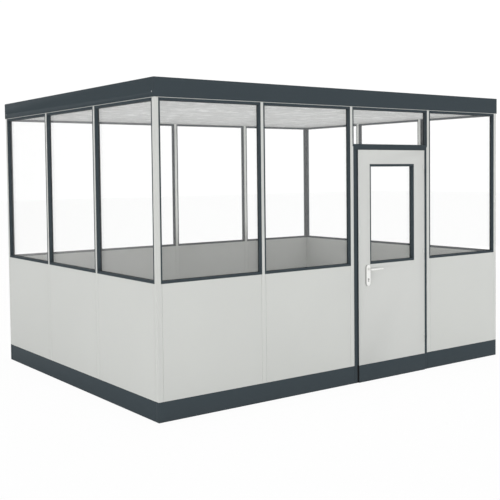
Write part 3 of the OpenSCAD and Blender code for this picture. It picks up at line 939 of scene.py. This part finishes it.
def grip(shape, face, way):
    """One lever, from its neck at the plate to the tip of its grip."""
    rings = []
    neck_r, reach, bend = 0.0090, 0.0460, 0.013
    tip = lever_high.x - 0.0005
    stations = [(spindle_x, 0.0010, 0.0, 0.86), (spindle_x, 0.0022, 0.0, 1.0), (spindle_x, 0.024, 0.0, 0.96),
                (spindle_x, reach - bend, 0.0, 0.94)]
    for k in range(1, 7):
        turn = math.pi / 2 * k / 6
        stations.append((spindle_x + bend * (1 - math.cos(turn)), reach - bend * (1 - math.sin(turn)),
                         turn, 0.94))
    start = spindle_x + bend
    for k in range(1, 9):
        stations.append((start + (tip - start) * k / 9, reach, math.pi / 2, 0.94))
    for k, (x, out, turn, scale) in enumerate(stations):
        along = max(0.0, (x - start) / (tip - start))
        blend = math.sin(turn)
        half_up = neck_r * scale * (1 - blend) + blend * (0.0088 - 0.0036 * along)
        half_out = neck_r * scale * (1 - blend) + blend * (0.0064 - 0.0012 * along)
        rings.append((x, out, turn, half_up, half_out))
    x, out, turn, half_up, half_out = rings[-1]
    for k in range(1, 6):
        round_off = math.pi / 2 * k / 5
        rings.append((x + (tip - x) * math.sin(round_off), out, turn,
                      half_up * max(math.cos(round_off), 0.12),
                      half_out * (0.45 + 0.55 * math.cos(round_off))))
    loops = []
    for x, out, turn, half_up, half_out in rings:
        loop = []
        for k in range(24):
            angle = 2 * math.pi * k / 24
            c, s = math.cos(angle), math.sin(angle)
            side = math.copysign(abs(c) ** 0.8, c) * half_out
            up = math.copysign(abs(s) ** 0.8, s) * half_up
            loop.append(Vector((x + side * math.cos(turn), face + way * (out - side * math.sin(turn)),
                                spindle_z + up)))
        loops.append(loop)
    lofted(shape, loops)


shape = bmesh.new()
grip(shape, plate_low.y, -1)
grip(shape, plate_high.y, 1)
levers = shown("lever_grips", shape)
levers.data.materials.append(satin)
levers.data.shade_smooth()
levers.data.set_sharp_from_angle(angle=math.radians(50))
fit(levers, "lever", "satin_metal", "lever_handles")

# ==== Hinges ====
# Three steel hinges: the lower half with its pin on the jamb, the upper half as a sleeve on the leaf.
# Countersunk screws hold the flaps, of which the leaf's are painted like the leaf, and domed caps
# close the ends.


def dome(shape, centre, radius, height):
    """A low dome with its flat side down, or up where the height is negative."""
    rings = []
    for k in range(5):
        turn = math.pi / 2 * k / 4.6
        wide, up = radius * math.cos(turn), height * math.sin(turn)
        rings.append([centre + Vector((wide * math.cos(a), wide * math.sin(a), up))
                      for a in [math.pi * j / 12 for j in range(24)]])
    lofted(shape, rings)


def parted(piece, name, x):
    """Cuts a piece off at x, and gives what lies on the left of it as a piece of its own."""
    right, left = bmesh.new(), bmesh.new()
    for part, way in ((right, -1), (left, 1)):
        part.from_mesh(piece.data)
        bmesh.ops.bisect_plane(part, geom=part.verts[:] + part.edges[:] + part.faces[:],
                               plane_co=(x, 0, 0), plane_no=(way, 0, 0), clear_outer=True)
        bmesh.ops.holes_fill(part, edges=[edge for edge in part.edges if edge.is_boundary])
    right.to_mesh(piece.data)
    right.free()
    return shown(name, left)


pivot = Vector(frame["joints"][0]["pos_m"])
low_box, high_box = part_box("frame_hinges"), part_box("leaf_hinges")
knuckle, cap_radius, cap_height, flap_thick = 0.045, 0.0074, 0.003, 0.003
rise = (low_box[1].z - 2 * knuckle - low_box[0].z) / 2
lower_seat = Vector((pivot.x + 0.016, wall_low.y - flap_thick, 0))
upper_seat = Vector((pivot.x - 0.019, leaf_low.y - flap_thick, knuckle + 0.001))
for node, body, way, seat, coat, slot in (
        ("frame_hinges", "office", -1, lower_seat, anthracite, "anthracite_frame"),
        ("leaf_hinges", "door", 1, upper_seat, leaf_sheet, "door_panel")):
    half = eased(node, node + "_knuckles", 0.0006, anthracite)
    if way > 0:
        flaps = parted(half, node + "_flaps", leaf_high.x - 0.004)
        fit(arris(flaps, 0.0006, leaf_sheet), body, slot)
    fit(half, body, "anthracite_frame", node)
    shape = bmesh.new()
    points = []
    for k in range(3):
        foot = low_box[0].z + k * rise
        cap_z = foot if way < 0 else high_box[1].z - (2 - k) * rise
        dome(shape, Vector((pivot.x, pivot.y, cap_z)), cap_radius, way * cap_height)
        points += [(seat + Vector((0, 0, foot + up)), (0, -1, 0)) for up in (0.011, 0.034)]
    caps = shown(node + "_caps", shape)
    caps.data.materials.append(anthracite)
    caps.data.shade_smooth()
    fit(caps, body, "anthracite_frame")
    fasten(node + "_screws", points, 0.006, 0.0009, 0.003, coat, body, slot)

# ==== Stage ====
# A plain pale floor that keeps a faint shadow, white all round, and soft lamps on all four sides,
# over the roof and in the room.


def to_the_eye(tree):
    """1 for what the eye sees, also through glass and in mirrors, and 0 for what only gives light."""
    path = step(tree, "ShaderNodeLightPath").outputs
    seen = sums(tree, "MAXIMUM", path["Is Camera Ray"], path["Is Glossy Ray"])
    return sums(tree, "MAXIMUM", seen, path["Is Transmission Ray"])


far = 60
floor_mesh = bpy.data.meshes.new("floor")
floor_mesh.from_pydata([(-far, -far, 0), (far, -far, 0), (far, far, 0), (-far, far, 0)], [], [(0, 1, 2, 3)])
floor = linked("floor", floor_mesh)
pale = bpy.data.materials.new("pale_floor")
pale.use_nodes = True
tree = pale.node_tree
tree.nodes.remove(tree.nodes["Principled BSDF"])
share = sums(tree, "MULTIPLY", to_the_eye(tree), 0.93)
white = 1.03
matt = step(tree, "ShaderNodeBsdfDiffuse", {"Color": (0.64, 0.64, 0.64, 1)}).outputs[0]
glow = step(tree, "ShaderNodeEmission", {"Color": (1, 1, 1, 1), "Strength": white}).outputs[0]
both = step(tree, "ShaderNodeMixShader", {0: share, 1: matt, 2: glow}).outputs[0]
tree.links.new(both, tree.nodes["Material Output"].inputs["Surface"])
floor_mesh.materials.append(pale)

world = bpy.data.worlds.new("white_studio")
world.use_nodes = True
tree = world.node_tree
level = step(tree, "ShaderNodeMapRange", {"Value": to_the_eye(tree), "To Min": 0.66, "To Max": white})
tree.links.new(level.outputs[0], tree.nodes["Background"].inputs["Strength"])
tree.nodes["Background"].inputs["Color"].default_value = (1, 1, 1, 1)
bpy.context.scene.world = world

for name, spot, aim, size, spread, power in (
        ("front", (5.0, -13.0, 0.60), (0.3, 0, 1.0), (9.0, 1.0), 180, 684.0),
        ("left", (-12.0, -3.0, 0.60), (-2.0, 1.5, 1.0), (6.0, 1.0), 180, 413.0),
        ("back", (-5.0, 16.5, 0.60), (0, 3.0, 1.0), (9.0, 1.0), 180, 520.0),
        ("right", (13.5, 6.0, 0.60), (2.0, 1.5, 1.0), (6.0, 1.0), 180, 420.0),
        ("roof", (0, 1.5, 9.0), (0, 1.5, 2.6), (3.6, 2.6), 80, 30.0),
        ("room", (0.0, 1.3, 1.05), (0.0, 1.3, 2.5), (3.7, 2.6), 180, 15.5)):
    lamp = bpy.data.lights.new(name, "AREA")
    lamp.shape = "RECTANGLE"
    lamp.size, lamp.size_y = size
    lamp.spread = math.radians(spread)
    lamp.energy = power
    stand = linked(name, lamp)
    stand.visible_camera = stand.visible_glossy = False
    stand.location = spot
    stand.rotation_euler = (Vector(aim) - Vector(spot)).to_track_quat("-Z", "Y").to_euler()

lens = bpy.data.cameras.new("camera")
lens.sensor_width = 36
lens.lens = 63.316
lens.shift_x = -0.01186
lens.shift_y = -0.07565
lens.clip_end = 200
camera = linked("camera", lens)
yaw, down, roll = 0.63898, 0.04366, -0.01073
camera.matrix_world = (Matrix.Translation((-5.3967, -5.8421, 1.9111)) @ Matrix.Rotation(-yaw, 4, "Z")
                       @ Matrix.Rotation(math.pi / 2 - down, 4, "X") @ Matrix.Rotation(roll, 4, "Z"))
bpy.context.scene.camera = camera
bpy.context.scene.view_settings.view_transform = "Standard"
